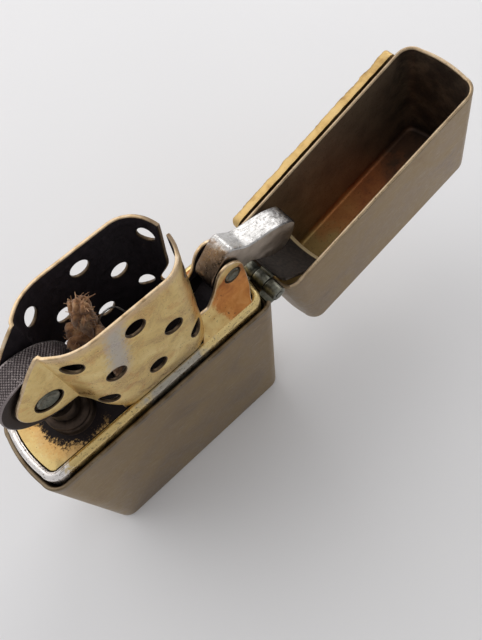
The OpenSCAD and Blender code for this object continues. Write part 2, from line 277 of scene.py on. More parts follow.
def inset(loop, d):
    """Moves a closed loop to its left by d, with mitred corners."""
    out = []
    for i, b in enumerate(loop):
        u = (b - loop[i - 1]).normalized()
        v = (loop[(i + 1) % len(loop)] - b).normalized()
        m = Vector((-u.y - v.y, u.x + v.x))
        out.append(b + m * (d / max(1 + u.dot(v), 0.6)))
    return out


def inside(p, loop):
    hit = False
    for i, b in enumerate(loop):
        a = loop[i - 1]
        if (a.y > p.y) != (b.y > p.y) and p.x < (b.x - a.x) * (p.y - a.y) / (b.y - a.y) + a.x:
            hit = not hit
    return hit


def within(p, loops):
    return inside(p, loops[0]) and not any(inside(p, h) for h in loops[1:])


def grid_points(loops, step, fold=None):
    """Points on a grid inside the loops, kept clear of their edges, with one column of them along a fold."""
    edge = kdtree.KDTree(sum(len(l) for l in loops))
    for i, p in enumerate(q for l in loops for q in l):
        edge.insert((p.x, p.y, 0), i)
    edge.balance()
    xs, ys = [p.x for p in loops[0]], [p.y for p in loops[0]]
    rows = range(int((max(ys) - min(ys)) / step) + 1)
    grid = [Vector((min(xs) + step * (i + 0.5 * (j % 2)), min(ys) + step * j))
            for i in range(int((max(xs) - min(xs)) / step) + 1) for j in rows]
    if fold is not None:
        grid = [p for p in grid if abs(p.x - fold) > 0.6 * step]
        grid += [Vector((fold, min(ys) + 0.5 * step * j)) for j in range(2 * len(rows))]
    return [p for p in grid if edge.find((p.x, p.y, 0))[2] > 0.4 * step and within(p, loops)]


def triangles(loops, extra):
    """Splits the area inside the loops into triangles of point numbers."""
    points = [p for l in loops for p in l] + extra
    edges, first = [], 0
    for l in loops:
        edges += [(first + i, first + (i + 1) % len(l)) for i in range(len(l))]
        first += len(l)
    verts, _, faces, origin, _, _ = delaunay_2d_cdt(points, edges, [], 0, 1e-6)
    out = []
    for f in faces:
        a, b, c = (verts[i] for i in f)
        # A flat sliver along a straight edge is no part of the sheet.
        if abs((b - a).cross(c - a)) > SLIVER and within((a + b + c) / 3, loops):
            out.append([origin[i][0] for i in f])
    return out


def add_sheet(shape, loops, place, thick, edge, step=None, mats=(0, 1, 2, 2), fold=None):
    """Adds a sheet with rounded edges. The loops are flat, the first one outside and counter-clockwise, and
    place(u, v, w) gives the point at depth w. mats are the materials of front, back, outer edge and holes."""
    turn = [math.radians(a) for a in (0, 22.5, 45, 67.5, 90)]
    rows = [(edge * (1 - math.sin(a)), edge * (1 - math.cos(a))) for a in turn]
    rows += [(d, thick - w) for d, w in reversed(rows)]
    front, back = [], []
    for n, loop in enumerate(loops):
        ids = [shape.points(place(p.x, p.y, w) for p in inset(loop, d)) for d, w in rows]
        for a, b in zip(ids, ids[1:]):
            shape.bridge(a, b, mats[3] if n else mats[2])
        front += ids[0]
        back += ids[-1]
    flat = [inset(loop, edge) for loop in loops]
    extra = grid_points(flat, step, fold) if step else []
    front += shape.points(place(p.x, p.y, 0) for p in extra)
    back += shape.points(place(p.x, p.y, thick) for p in extra)
    for t in triangles(flat, extra):
        shape.face([front[i] for i in t], mats[0])
        shape.face([back[i] for i in reversed(t)], mats[1])


def add_lathe(shape, centre, axis, profile, n=48, mat=0, wobble=None):
    """Adds a turned form: profile is (radius, height along the axis) from one end to the other."""
    rings = []
    for r, h in profile:
        ring = []
        for i in range(n):
            a = 2 * math.pi * i / n
            q = r + (wobble(a, h) if wobble else 0)
            x, y = q * math.cos(a), q * math.sin(a)
            ring.append(centre + (Vector((x, y, h)) if axis == "Z" else Vector((x, h, y))))
        rings.append(shape.points(ring))
    for a, b in zip(rings, rings[1:]):
        shape.bridge(a, b, mat)
    for ring in (rings[0], rings[-1]):
        if profile[0] != profile[-1]:
            shape.face(ring, mat)


def add_tube(shape, path, radius, n=8, mat=0, twist=0.0, lobes=0):
    """Adds a tube along a path; radius is a function of the share of its length."""
    up = Vector((0.3, 1, 0.2)).normalized()
    rings = []
    for i, p in enumerate(path):
        d = (path[min(i + 1, len(path) - 1)] - path[max(i - 1, 0)]).normalized()
        side = d.cross(up).normalized()
        up = side.cross(d).normalized()
        share = i / (len(path) - 1)
        ring = []
        for k in range(n):
            a = 2 * math.pi * k / n
            r = radius(share) * (1 + (0.22 * math.cos(lobes * (a + twist * i)) if lobes else 0))
            ring.append(p + r * (math.cos(a) * side + math.sin(a) * up))
        rings.append(shape.points(ring))
    for a, b in zip(rings, rings[1:]):
        shape.bridge(a, b, mat)
    shape.face(rings[0], mat)
    shape.face(rings[-1], mat)


# ---------------------------------------------------------------- materials

class Paint:
    """The node tree of one material, with its patterns laid out in millimetres."""

    def __init__(self, name, metallic=1.0, **fixed):
        self.mat = bpy.data.materials.new(name)
        self.mat.use_nodes = True
        self.tree = self.mat.node_tree
        self.shader = self.tree.nodes["Principled BSDF"]
        self.shader.inputs["Metallic"].default_value = metallic
        for socket, value in fixed.items():
            self.shader.inputs[socket.replace("_", " ")].default_value = value
        scaled = self.node("ShaderNodeVectorMath", operation="SCALE")
        scaled.inputs["Scale"].default_value = 1 / MM
        self.tree.links.new(self.node("ShaderNodeTexCoord").outputs["Object"], scaled.inputs[0])
        self.mm = scaled.outputs[0]

    def node(self, kind, **settings):
        made = self.tree.nodes.new(kind)
        for key, value in settings.items():
            setattr(made, key, value)
        return made

    def feed(self, socket, value):
        if isinstance(value, bpy.types.NodeSocket):
            self.tree.links.new(value, socket)
        elif isinstance(value, tuple):
            socket.default_value = (*value, 1.0)[:len(socket.default_value)]
        else:
            socket.default_value = value

    def shifted(self, stretch, shift):
        made = self.node("ShaderNodeMapping")
        self.tree.links.new(self.mm, made.inputs["Vector"])
        made.inputs["Scale"].default_value = stretch
        made.inputs["Location"].default_value = (shift, 1.7 * shift, 2.3 * shift)
        return made.outputs[0]

    def noise(self, scale, detail=6.0, rough=0.55, stretch=(1, 1, 1), shift=0.0, warp=0.0):
        made = self.node("ShaderNodeTexNoise")
        self.feed(made.inputs["Vector"], self.shifted(stretch, shift))
        for socket, value in (("Scale", scale), ("Detail", detail), ("Roughness", rough),
                              ("Distortion", warp)):
            made.inputs[socket].default_value = value
        return made.outputs["Fac"]

    def level(self, value, low, high, to_low=0.0, to_high=1.0):
        made = self.node("ShaderNodeMapRange", interpolation_type="SMOOTHSTEP")
        for socket, v in zip(made.inputs, (value, low, high, to_low, to_high)):
            self.feed(socket, v)
        return made.outputs[0]

    def spread(self, value, *ends):
        """A noise's usual range laid over the two ends."""
        return self.level(value, 0.3, 0.7, *ends)

    def flecks(self, colour, tint, value, low, high, most):
        """Tints a colour where a value is high, by at most the share given."""
        return self.blend(self.level(value, low, high, 0, most), colour, tint)

    def calc(self, operation, a, b=0.0):
        made = self.node("ShaderNodeMath", operation=operation)
        self.feed(made.inputs[0], a)
        self.feed(made.inputs[1], b)
        return made.outputs[0]

    def ramp(self, value, *stops):
        made = self.node("ShaderNodeValToRGB")
        ramp = made.color_ramp
        while len(ramp.elements) < len(stops):
            ramp.elements.new(0.5)
        for element, (place, colour) in zip(ramp.elements, stops):
            element.position = place
            element.color = (*colour, 1.0)
        self.feed(made.inputs[0], value)
        return made.outputs[0]

    def blend(self, share, a, b):
        made = self.node("ShaderNodeMix", data_type="RGBA")
        self.feed(made.inputs[0], share)
        self.feed(made.inputs[6], a)
        self.feed(made.inputs[7], b)
        return made.outputs[2]

    def axis(self, i):
        made = self.node("ShaderNodeSeparateXYZ")
        self.tree.links.new(self.mm, made.inputs[0])
        return made.outputs[i]

    def reach(self, centre, keep=(1, 1, 1)):
        """Distance from a point, measured only along the axes that are kept."""
        made = self.node("ShaderNodeVectorMath", operation="SUBTRACT")
        self.tree.links.new(self.mm, made.inputs[0])
        made.inputs[1].default_value = centre
        scaled = self.node("ShaderNodeVectorMath", operation="MULTIPLY")
        self.tree.links.new(made.outputs[0], scaled.inputs[0])
        scaled.inputs[1].default_value = keep
        length = self.node("ShaderNodeVectorMath", operation="LENGTH")
        self.tree.links.new(scaled.outputs[0], length.inputs[0])
        return length.outputs["Value"]

    def along(self, origin, way):
        """Distance from a point in one direction."""
        made = self.node("ShaderNodeVectorMath", operation="SUBTRACT")
        self.tree.links.new(self.mm, made.inputs[0])
        made.inputs[1].default_value = origin
        dot = self.node("ShaderNodeVectorMath", operation="DOT_PRODUCT")
        self.tree.links.new(made.outputs[0], dot.inputs[0])
        dot.inputs[1].default_value = way
        return dot.outputs["Value"]

    def scratches(self, shift=0.0, stretch=(0.12, 0.12, 2.4), amount=0.64):
        """Thin marks, 0 between them and 1 on them."""
        return self.level(self.noise(2.6, 2.0, 0.4, stretch, shift, 0.5), amount, amount + 0.05)

    def worn(self, low=0.51, high=0.56):
        """1 on outer edges."""
        return self.level(self.node("ShaderNodeNewGeometry").outputs["Pointiness"], low, high)

    def finish(self, colour, rough, *bumps):
        """Connects the shader; each bump is (height, strength, distance in millimetres)."""
        self.feed(self.shader.inputs["Base Color"], colour)
        self.feed(self.shader.inputs["Roughness"], rough)
        normal = None
        for height, strength, distance in bumps:
            made = self.node("ShaderNodeBump")
            made.inputs["Strength"].default_value = strength
            made.inputs["Distance"].default_value = distance * MM
            self.feed(made.inputs["Height"], height)
            if normal:
                self.tree.links.new(normal, made.inputs["Normal"])
            normal = made.outputs[0]
        if normal:
            self.tree.links.new(normal, self.shader.inputs["Normal"])
        return self.mat


def aged_brass(name, shift=0.0, dark=1.0):
    """Satin brass gone brown, with clouds, specks and handling marks."""
    p = Paint(name)
    cloud = p.noise(0.11, 5, 0.6, shift=shift, warp=0.8)
    fine = p.noise(1.5, 8, 0.7, shift=shift)
    colour = p.ramp(cloud, (0.3, (0.165 * dark, 0.105 * dark, 0.055 * dark)),
                    (0.46, (0.245 * dark, 0.172 * dark, 0.095 * dark)),
                    (0.62, (0.285 * dark, 0.205 * dark, 0.11 * dark)),
                    (0.78, (0.23 * dark, 0.15 * dark, 0.085 * dark)))
    colour = p.flecks(colour, (0.33 * dark, 0.24 * dark, 0.13 * dark), fine, 0.45, 0.75, 0.45)
    specks = p.level(p.noise(5.5, 3, 0.5, shift=shift + 4), 0.66, 0.72, 0, 0.5)
    colour = p.blend(specks, colour, (0.09, 0.06, 0.045))
    marks = p.scratches(shift)
    colour = p.blend(p.calc("MULTIPLY", marks, 0.35), colour, (0.5, 0.42, 0.3))
    rough = p.calc("ADD", p.spread(cloud, 0.36, 0.5), p.level(fine, 0.35, 0.7, -0.04, 0.07))
    return p.finish(colour, rough, (fine, 0.12, 0.05), (p.noise(9, 4, 0.6, shift=shift), 0.1, 0.02),
                    (marks, 0.12, 0.02))


def inner_brass(name, shift=0.0):
    """The inside of the case: dark olive brown."""
    p = Paint(name, metallic=0.8)
    cloud = p.noise(0.3, 4, 0.55, shift=shift)
    colour = p.ramp(cloud, (0.3, (0.075, 0.055, 0.036)), (0.7, (0.17, 0.125, 0.075)))
    grain = p.noise(3.2, 8, 0.7, shift=shift)
    colour = p.flecks(colour, (0.05, 0.03, 0.02), grain, 0.55, 0.75, 0.5)
    return p.finish(colour, p.spread(cloud, 0.4, 0.58), (grain, 0.3, 0.06))


def lid_inside(name):
    """Brown walls over a floor that goes from ochre by the leaf through rust to black at its far end."""
    p = Paint(name, metallic=0.7)
    c, s = math.cos(math.radians(LID_OPEN)), math.sin(math.radians(LID_OPEN))
    drift = p.spread(p.noise(0.3, 6, 0.6, shift=9), -3.0, 3.0)
    length = p.calc("ADD", p.along(HINGE, (-c, 0, s)), drift)
    depth = p.along(HINGE, (s, 0, c))
    walls = p.ramp(p.noise(0.22, 5, 0.6, shift=17), (0.3, (0.2, 0.142, 0.1)), (0.7, (0.36, 0.27, 0.185)))
    floor = p.ramp(p.calc("DIVIDE", length, 40.0), (0.3, (0.52, 0.35, 0.13)), (0.45, (0.58, 0.25, 0.08)),
                   (0.6, (0.46, 0.16, 0.055)), (0.8, (0.14, 0.075, 0.045)))
    colour = p.blend(p.level(depth, 20.8, 22.0), walls, floor)
    colour = p.flecks(colour, (0.035, 0.028, 0.026), length, 32.0, 40.0, 0.8)
    grain = p.noise(2.6, 8, 0.7)
    colour = p.flecks(colour, (0.045, 0.028, 0.02), grain, 0.54, 0.74, 0.6)
    return p.finish(colour, p.spread(grain, 0.36, 0.56), (grain, 0.3, 0.06))


def leaf_shade_and_highlight(name):
    """The lid's hinge leaf: painted near black as the shade on it, with a bright gold highlight painted along
    its free edge.
    """
    p = Paint(name, metallic=0.5)
    # worn marks the free edge, where the bright gold highlight is painted.
    worn = p.level(p.reach(HINGE, (1, 0, 1)), LEAF_H - 1.2, LEAF_H - 0.8)
    grain = p.noise(2.0, 7, 0.65)
    # The leaf's face is painted near black as shade.
    dark = p.ramp(grain, (0.35, (0.02, 0.016, 0.014)), (0.7, (0.06, 0.045, 0.035)))
    colour = p.blend(worn, dark, (0.92, 0.73, 0.42))
    return p.finish(colour, p.level(worn, 0, 1, 0.55, 0.3), (grain, 0.3, 0.05))


def polished_brass(name, shift=0.0, orange=0.5, band=False):
    """Golden brass with orange stains, dark specks and wiping marks, and on one wall a grey band painted on
    as a reflection.
    """
    p = Paint(name)
    cloud = p.noise(0.28, 6, 0.6, shift=shift, warp=0.9)
    stain = p.level(p.noise(0.34, 6, 0.65, shift=shift + 7, warp=1.4), 0.5, 0.68, 0, orange)
    fine = p.noise(2.4, 8, 0.7, shift=shift)
    colour = p.ramp(cloud, (0.32, (0.55, 0.37, 0.155)), (0.5, (0.74, 0.54, 0.215)),
                    (0.68, (0.82, 0.645, 0.3)))
    colour = p.blend(stain, colour, (0.64, 0.33, 0.11))
    if band:
        # On this wall a soft grey band that leans with the wall is painted on as a reflection.
        drop = p.calc("SUBTRACT", SCREEN_TOP, p.axis(2))
        across = p.calc("ADD", p.calc("ADD", p.axis(0), 1.0), p.calc("MULTIPLY", drop, 0.22))
        off = p.calc("ADD", p.calc("ABSOLUTE", across), p.spread(fine, -0.4, 0.4))
        grey = p.calc("MULTIPLY", p.level(off, 2.0, 0.2, 0, 0.85), p.level(drop, 10.6, 7.4))
        colour = p.blend(grey, colour, (0.5, 0.47, 0.44))
        colour = p.flecks(colour, (0.6, 0.43, 0.29), drop, 1.4, 0.3, 0.6)
    colour = p.flecks(colour, (0.42, 0.3, 0.13), fine, 0.5, 0.78, 0.5)
    specks = p.level(p.noise(4.8, 4, 0.55, shift=shift + 2), 0.64, 0.7, 0, 0.8)
    colour = p.blend(specks, colour, (0.1, 0.07, 0.035))
    marks = p.scratches(shift + 3)
    rough = p.calc("ADD", p.spread(cloud, 0.24, 0.36), p.level(fine, 0.4, 0.8, 0, 0.16))
    return p.finish(colour, rough, (fine, 0.16, 0.04), (specks, 0.3, 0.03), (marks, 0.14, 0.02),
                    (p.noise(0.5, 2, 0.5, shift=shift), 0.1, 0.15))


def edge_brass(name):
    """Sheet edges worn to a tan, sooty beside the cam."""
    p = Paint(name)
    cloud = p.noise(0.9, 6, 0.6)
    colour = p.ramp(cloud, (0.34, (0.42, 0.29, 0.16)), (0.52, (0.64, 0.48, 0.3)), (0.7, (0.74, 0.61, 0.46)))
    behind = p.calc("MULTIPLY", p.level(p.axis(0), 8.0, 9.0), p.level(p.axis(2), 45.5, 47.0))
    colour = p.blend(p.calc("MULTIPLY", behind, 0.8), colour, (0.09, 0.06, 0.04))
    return p.finish(colour, p.spread(cloud, 0.3, 0.48), (p.noise(5, 4, 0.6), 0.2, 0.03))


def rim_brass(name, shift, light):
    """A shell's open rim: tan where it is rubbed, brown where it is not, with dark pits; light scales its
    colour, and a low light paints the rim in shade.
    """
    p = Paint(name)
    cloud = p.noise(0.4, 6, 0.6, shift=shift)
    colour = p.ramp(cloud, (0.32, tuple(light * c for c in (0.34, 0.24, 0.14))),
                    (0.5, tuple(light * c for c in (0.6, 0.45, 0.29))),
                    (0.7, tuple(light * c for c in (0.72, 0.57, 0.38))))
    colour = p.flecks(colour, (0.06, 0.045, 0.03), p.noise(3.5, 5, 0.6, shift=shift), 0.58, 0.7, 0.8)
    return p.finish(colour, p.spread(cloud, 0.3, 0.48), (p.noise(4, 5, 0.6), 0.25, 0.04))


def soot(name, tint=(0.012, 0.009, 0.011)):
    """Matt black soot with a few brown flakes."""
    p = Paint(name, metallic=0.0, Specular_IOR_Level=0.25)
    flakes = p.noise(1.6, 8, 0.7)
    colour = p.ramp(flakes, (0.4, tint), (0.62, tuple(2.2 * c for c in tint)), (0.76, (0.07, 0.045, 0.03)))
    return p.finish(colour, p.spread(flakes, 0.5, 0.8), (flakes, 0.5, 0.12), (p.noise(7, 4, 0.6), 0.3, 0.05))


def plate_brass(name):
    """The insert's top: golden, stained orange, and black with a feathered edge around the flint tube."""
    p = Paint(name, Specular_IOR_Level=0.15)
    cloud = p.noise(0.3, 6, 0.6, shift=5)
    colour = p.ramp(cloud, (0.32, (0.44, 0.3, 0.12)), (0.5, (0.55, 0.42, 0.18)), (0.7, (0.6, 0.49, 0.25)))
    feather = p.calc("ADD", p.spread(p.noise(3.2, 6, 0.7), -0.5, 0.5),
                     p.spread(p.noise(0.5, 5, 0.6, shift=2), -0.4, 0.4))
    near = p.calc("ADD", p.reach(Vector((TUBE_X, 0, PLATE_Z)), (1, 1, 0)), feather)
    inward = p.calc("ADD", p.axis(0), feather)
    burnt = p.calc("MAXIMUM", p.level(near, 4.7, 3.9), p.level(inward, -8.8, -7.4))
    stained = p.calc("MAXIMUM", p.level(near, 6.8, 4.8), p.level(inward, -10.6, -8.4))
    colour = p.blend(p.calc("MULTIPLY", stained, 0.55), colour, (0.46, 0.21, 0.06))
    colour = p.blend(burnt, colour, (0.012, 0.008, 0.008))
    specks = p.level(p.noise(5, 4, 0.6), 0.62, 0.7, 0, 0.7)
    colour = p.blend(specks, colour, (0.08, 0.045, 0.02))
    rough = p.calc("ADD", p.spread(cloud, 0.3, 0.42), p.calc("MULTIPLY", burnt, 0.3))
    p.feed(p.shader.inputs["Metallic"], p.calc("SUBTRACT", 1.0, p.calc("MULTIPLY", burnt, 0.85)))
    return p.finish(colour, rough, (p.noise(2.2, 8, 0.7), 0.2, 0.05), (burnt, 0.3, 0.05))


def rim_metal(name):
    """The insert's rim: silver at its wheel end as a painted highlight, then gold, a grey stretch, and gold
    again.
    """
    p = Paint(name)
    ragged = p.calc("ADD", p.axis(0), p.spread(p.noise(0.7, 6, 0.65, shift=12), -1.6, 1.6))
    place = p.calc("DIVIDE", p.calc("SUBTRACT", ragged, INSERT_LOW.x), INSERT.x - INSERT_LOW.x)
    # The silver at the wheel end is a painted highlight.
    colour = p.ramp(place, (0.06, (0.86, 0.82, 0.79)), (0.11, (0.66, 0.49, 0.21)), (0.4, (0.66, 0.49, 0.21)),
                    (0.47, (0.4, 0.37, 0.31)), (0.66, (0.4, 0.37, 0.31)), (0.74, (0.76, 0.58, 0.26)))
    marks = p.scratches(6, (0.5, 0.5, 2.2), 0.6)
    colour = p.blend(p.calc("MULTIPLY", marks, 0.5), colour, (0.16, 0.13, 0.1))
    specks = p.level(p.noise(3.6, 5, 0.6), 0.58, 0.68, 0, 0.75)
    colour = p.blend(specks, colour, (0.09, 0.07, 0.04))
    return p.finish(colour, p.spread(p.noise(1.2, 6, 0.6), 0.24, 0.42), (marks, 0.3, 0.03),
                    (p.noise(3, 6, 0.6), 0.2, 0.04))


def copper_ear(name):
    """The cam ears: golden, with a rounded patch of smooth copper below the rivet."""
    p = Paint(name)
    cloud = p.noise(0.6, 6, 0.6, warp=0.5)
    centre = Vector((CAM.x + 0.3, 0, CAM.z - 2.8))
    away = p.calc("ADD", p.reach(centre, (1, 0, 1)), p.spread(p.noise(0.9, 6, 0.6, shift=3), -0.35, 0.35))
    copper = p.ramp(cloud, (0.35, (0.42, 0.16, 0.05)), (0.55, (0.57, 0.24, 0.07)), (0.7, (0.63, 0.31, 0.11)))
    gold = p.ramp(cloud, (0.35, (0.6, 0.38, 0.14)), (0.6, (0.74, 0.55, 0.24)))
    colour = p.blend(p.level(away, 3.7, 4.3), copper, gold)
    pits = p.level(p.noise(3.2, 5, 0.6, shift=8), 0.6, 0.7, 0, 0.8)
    colour = p.blend(p.calc("MULTIPLY", pits, p.level(away, 1.6, 3.2)), colour, (0.12, 0.07, 0.04))
    return p.finish(colour, p.spread(cloud, 0.3, 0.42), (pits, 0.3, 0.04), (p.noise(3, 8, 0.7), 0.14, 0.04))


def green_grey(name, light=1.0):
    """Hinge knuckles and rivet heads: grey metal with a green tarnish."""
    p = Paint(name)
    cloud = p.noise(0.9, 7, 0.65, warp=0.6)
    colour = p.ramp(cloud, (0.32, (0.1 * light, 0.105 * light, 0.085 * light)),
                    (0.5, (0.25 * light, 0.25 * light, 0.2 * light)),
                    (0.68, (0.42 * light, 0.4 * light, 0.33 * light)))
    pits = p.level(p.noise(3.4, 6, 0.65, shift=3), 0.56, 0.68, 0, 0.8)
    colour = p.blend(pits, colour, (0.03, 0.03, 0.025))
    return p.finish(colour, p.spread(cloud, 0.3, 0.48), (pits, 0.5, 0.05), (p.noise(5, 6, 0.6), 0.25, 0.03))


def cam_top(name):
    """The cam's bearing face: bright and pitted, going brown and then black towards the heel."""
    p = Paint(name)
    pits = p.level(p.noise(2.6, 7, 0.68, shift=1), 0.56, 0.68, 0, 0.75)
    marks = p.scratches(2, (0.25, 3.0, 0.25), 0.56)
    colour = p.ramp(p.noise(0.7, 6, 0.6), (0.32, (0.4, 0.39, 0.38)), (0.6, (0.58, 0.57, 0.555)))
    colour = p.blend(pits, colour, (0.2, 0.18, 0.17))
    colour = p.blend(p.calc("MULTIPLY", marks, 0.4), colour, (0.36, 0.34, 0.32))
    ragged = p.calc("ADD", p.axis(0), p.spread(p.noise(1.0, 7, 0.7, shift=4), -0.5, 0.5))
    colour = p.blend(p.level(ragged, CAM.x + 0.9, CAM.x - 0.3), colour, (0.24, 0.17, 0.12))
    low = p.calc("ADD", p.axis(2), p.spread(p.noise(1.4, 7, 0.7, shift=6), -0.8, 0.8))
    colour = p.flecks(colour, (0.03, 0.024, 0.026), low, CAM.z + 1.3, CAM.z - 1.0, 0.9)
    return p.finish(colour, p.spread(p.noise(1.6, 6, 0.6), 0.22, 0.4), (pits, 0.4, 0.05), (marks, 0.3, 0.03),
                    (p.noise(4, 8, 0.7), 0.25, 0.04))


def dark_steel(name, colours, shift=0.0, rough=(0.32, 0.46)):
    """Smooth darkened steel with a faint brushed grain."""
    p = Paint(name)
    cloud = p.noise(0.5, 6, 0.6, shift=shift, warp=0.7)
    colour = p.ramp(cloud, (0.34, colours[0]), (0.66, colours[1]))
    grain = p.noise(4.0, 6, 0.6, (1, 1, 1), shift)
    colour = p.flecks(colour, tuple(0.35 * c for c in colours[0]), grain, 0.6, 0.75, 0.5)
    return p.finish(colour, p.spread(cloud, *rough), (grain, 0.2, 0.03), (p.noise(9, 3, 0.5), 0.1, 0.02))


def knurl_steel(name):
    """The wheel's tread: dark in its grooves, with a pinkish grey highlight painted on its teeth."""
    p = Paint(name)
    # worn is 1 on the teeth, where a pinkish grey highlight is painted; the grooves stay dark.
    worn = p.worn(0.46, 0.56)
    grit = p.noise(3.0, 7, 0.7)
    colour = p.blend(worn, (0.07, 0.058, 0.06), (0.25, 0.215, 0.21))
    colour = p.flecks(colour, (0.09, 0.07, 0.07), grit, 0.5, 0.7, 0.6)
    return p.finish(colour, p.spread(grit, 0.3, 0.5), (grit, 0.3, 0.05))


def gold_plate(name):
    """The applied plate: bright gold, tarnished dark in its hollows."""
    p = Paint(name)
    cloud = p.noise(0.35, 7, 0.6, warp=0.8)
    colour = p.ramp(cloud, (0.3, (0.34, 0.21, 0.08)), (0.48, (0.54, 0.37, 0.15)), (0.68, (0.64, 0.47, 0.22)))
    hollow = p.level(p.node("ShaderNodeNewGeometry").outputs["Pointiness"], 0.5, 0.44, 0, 0.85)
    colour = p.blend(hollow, colour, (0.13, 0.075, 0.02))
    grain = p.noise(2.6, 8, 0.7)
    colour = p.flecks(colour, (0.34, 0.22, 0.07), grain, 0.56, 0.74, 0.6)
    return p.finish(colour, p.spread(cloud, 0.42, 0.56), (grain, 0.3, 0.05), (p.noise(7, 5, 0.6), 0.15, 0.02))


def wick_cotton(name):
    """Brown cotton with darker patches and flecks."""
    p = Paint(name, metallic=0.0, Sheen_Weight=0.3, Sheen_Roughness=0.5, Specular_IOR_Level=0.2)
    fibre = p.noise(3.0, 8, 0.75, (1.0, 1.0, 0.35))
    colour = p.ramp(p.noise(0.7, 6, 0.6, warp=0.6), (0.3, (0.12, 0.05, 0.022)), (0.5, (0.36, 0.18, 0.08)),
                    (0.7, (0.56, 0.36, 0.19)))
    colour = p.flecks(colour, (0.06, 0.03, 0.018), fibre, 0.5, 0.7, 0.7)
    return p.finish(colour, p.spread(fibre, 0.75, 0.95), (fibre, 0.6, 0.12))


def soft_fibre(name, light, dark, scale):
    """Loose pale padding: felt and packing; also dried glue, which is painted near black, partly as the shade
    behind the applied plate.
    """
    p = Paint(name, metallic=0.0, Sheen_Weight=0.2, Specular_IOR_Level=0.2)
    fibre = p.noise(scale, 9, 0.75, warp=1.5)
    colour = p.ramp(fibre, (0.35, dark), (0.62, light))
    return p.finish(colour, p.spread(fibre, 0.8, 0.95), (fibre, 0.6, 0.2))


def floor_paper(name):
    p = Paint(name, metallic=0.0, Specular_IOR_Level=0.3)
    grain = p.noise(0.6, 5, 0.6)
    colour = p.ramp(p.noise(0.008, 3, 0.5), (0.3, (0.74, 0.735, 0.745)), (0.7, (0.77, 0.765, 0.77)))
    return p.finish(colour, p.spread(grain, 0.5, 0.62), (grain, 0.04, 0.05))


CASE_OUT = aged_brass("case_brass")
LID_OUT = aged_brass("lid_brass", 31, 1.08)
CASE_IN = inner_brass("case_inside", 3)
LID_IN = lid_inside("lid_inside")
SHADED_LEAF = leaf_shade_and_highlight("leaf_shade_and_highlight")
# The case's rim is the rim brass at 0.35 of its brightness, painted dark as shade.
CASE_RIM_SHADED = rim_brass("case_rim_painted_shade", 0, 0.35)
LID_RIM = rim_brass("lid_rim_brass", 5, 0.8)
GOLD = polished_brass("screen_brass")
# The near wall's brass, with a painted reflection.
GOLD_PAINTED_REFLECTION = polished_brass("brass_painted_reflection", band=True)
WALL_GOLD = rim_metal("insert_rim_metal")
EDGE = edge_brass("edge_brass")
# The walls of holes are painted dark brown as shade.
HOLE_EDGE_SHADE = dark_steel("hole_edge_painted_shade", ((0.06, 0.042, 0.028), (0.13, 0.09, 0.055)), 5)
SOOT = soot("screen_soot")
PLATE = plate_brass("plate_brass")
COPPER = copper_ear("ear_copper")
KNUCKLE = green_grey("knuckle_metal", 0.7)
RIVET = green_grey("rivet_metal", 0.55)
CAM_TOP = cam_top("cam_top_steel")
CAM_SIDE = dark_steel("cam_side_steel", ((0.34, 0.28, 0.23), (0.5, 0.43, 0.36)), 2)
WHEEL_SIDE = dark_steel("wheel_side_steel", ((0.035, 0.027, 0.025), (0.065, 0.05, 0.045)), 7, (0.45, 0.6))
TREAD = knurl_steel("wheel_tread_steel")
EMBLEM = gold_plate("emblem_gold")
COTTON = wick_cotton("wick_cotton")
FERRULE = dark_steel("ferrule_steel", ((0.03, 0.022, 0.018), (0.085, 0.06, 0.045)), 21, (0.45, 0.6))
FITTING = polished_brass("fitting_brass", 44, 0.9)
SPRING = dark_steel("spring_steel", ((0.3, 0.29, 0.27), (0.46, 0.44, 0.42)), 11)
SPARK = dark_steel("flint_metal", ((0.12, 0.11, 0.11), (0.22, 0.2, 0.2)), 13, (0.5, 0.7))
# Dark glue, painted near black partly as the shade in the gap behind the applied plate.
GLUE_AND_SHADE = soft_fibre("dark_glue", (0.07, 0.05, 0.035), (0.03, 0.02, 0.015), 0.8)
PACKING = soft_fibre("packing_fibre", (0.8, 0.77, 0.7), (0.5, 0.46, 0.38), 1.2)
FELT = soft_fibre("felt", (0.62, 0.61, 0.58), (0.36, 0.35, 0.33), 2.2)


# ---------------------------------------------------------------- case and lid

def shell_profile(height, notch_z):
    """(inset, height, material) of each ring of a drawn shell, outside then inside, from floor to floor."""
    rows = [(EDGE_R * (1 - math.sin(a)), EDGE_R * (1 - math.cos(a)), 0)
            for a in (math.radians(d) for d in range(0, 91, 15))]
    rows += [(0, z, 0) for z in (0.2 * height, 0.5 * height, 0.8 * height)]
    half = SHELL_T / 2
    rows += [(0, z, 0) for z in (notch_z, notch_z + 0.4)]
    rows += [(half * (1 - math.cos(a)), height - half + half * math.sin(a), 1)
             for a in (math.radians(d) for d in range(0, 181, 20))]
    rows += [(SHELL_T, z, 2) for z in (notch_z + 0.4, notch_z, 0.8 * height, 0.4 * height)]
    inner = EDGE_R - 0.4
    rows += [(SHELL_T + inner * (1 - math.cos(a)), SHELL_T + inner * (1 - math.sin(a)), 2)
             for a in (math.radians(d) for d in range(0, 91, 22))]
    return rows


